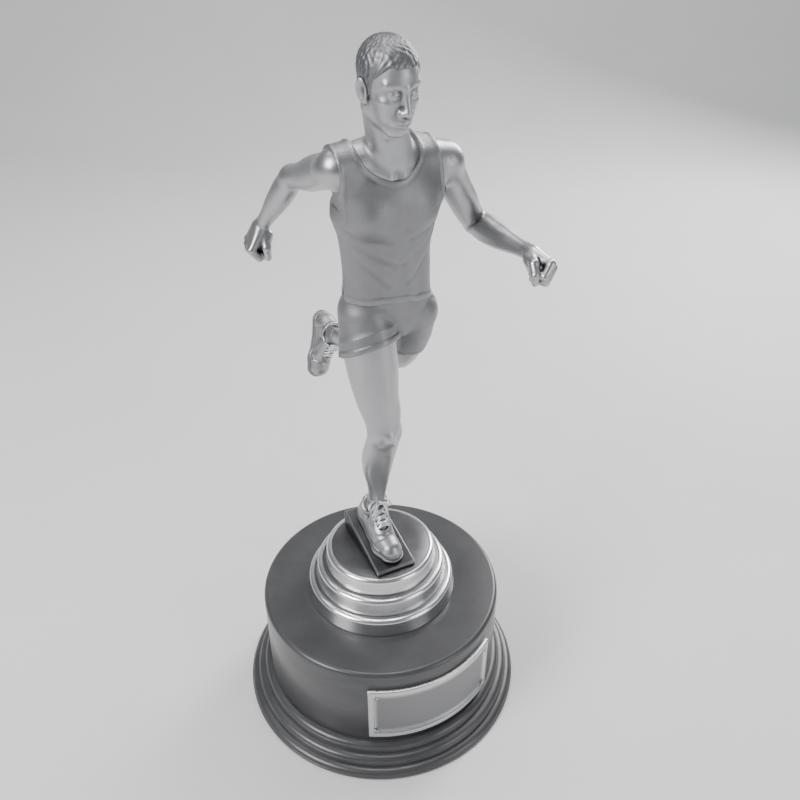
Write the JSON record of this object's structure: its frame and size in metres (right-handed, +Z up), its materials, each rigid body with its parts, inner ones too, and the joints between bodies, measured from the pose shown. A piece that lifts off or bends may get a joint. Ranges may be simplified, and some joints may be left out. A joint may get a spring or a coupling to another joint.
{
  "type": "figure trophy",
  "caption": "Cast running figure in vest, shorts and running shoes on a sloped block, a tiered riser and a turned drum base with a curved nameplate.",
  "frame": {"origin": "centre of the felt underside, on the axis of the turned base", "axes": "+Z up along the base axis, -Y towards the front, the figure faces about 27 degrees from -Y towards +X"},
  "size_m": [0.1318, 0.1584, 0.2956],
  "materials": {
    "felt": "pressed felt",
    "lacquer": "satin charcoal lacquer on turned wood",
    "bright_silver": "turned and polished",
    "plate": "brushed, blank",
    "steel": "plain",
    "iron": "as cast",
    "antique_silver": "antique silver with darkened recesses"
  },
  "bodies": {
    "root": {"felt_pad": "felt", "foot_moulding": "lacquer", "base_drum": "lacquer", "wedge_block": "lacquer", "riser_lower": "bright_silver", "riser_middle": "bright_silver", "riser_upper": "bright_silver", "nameplate": "plate", "nameplate_screw_1": "steel", "nameplate_screw_2": "steel", "nameplate_screw_3": "steel", "nameplate_screw_4": "steel", "tie_rod": "steel", "hex_nut": "steel", "washer": "steel", "riser_pin_1": "steel", "riser_pin_2": "steel", "tier_pin_1": "steel", "tier_pin_2": "steel", "block_pin": "steel", "neck_pin": "steel", "waist_pin": "steel", "right_shoulder_pin": "steel", "right_wrist_pin": "steel", "right_hip_pin": "steel", "right_ankle_pin": "steel", "left_shoulder_pin": "steel", "left_wrist_pin": "steel", "left_hip_pin": "steel", "left_ankle_pin": "steel", "ballast": "iron", "head": "antique_silver", "torso": "antique_silver", "shorts": "antique_silver", "right_arm": "antique_silver", "right_fist": "antique_silver", "right_leg": "antique_silver", "right_shoe": "antique_silver", "right_outsole": "antique_silver", "left_arm": "antique_silver", "left_fist": "antique_silver", "left_leg": "antique_silver", "left_shoe": "antique_silver", "left_outsole": "antique_silver"}
  },
  "joints": []
}
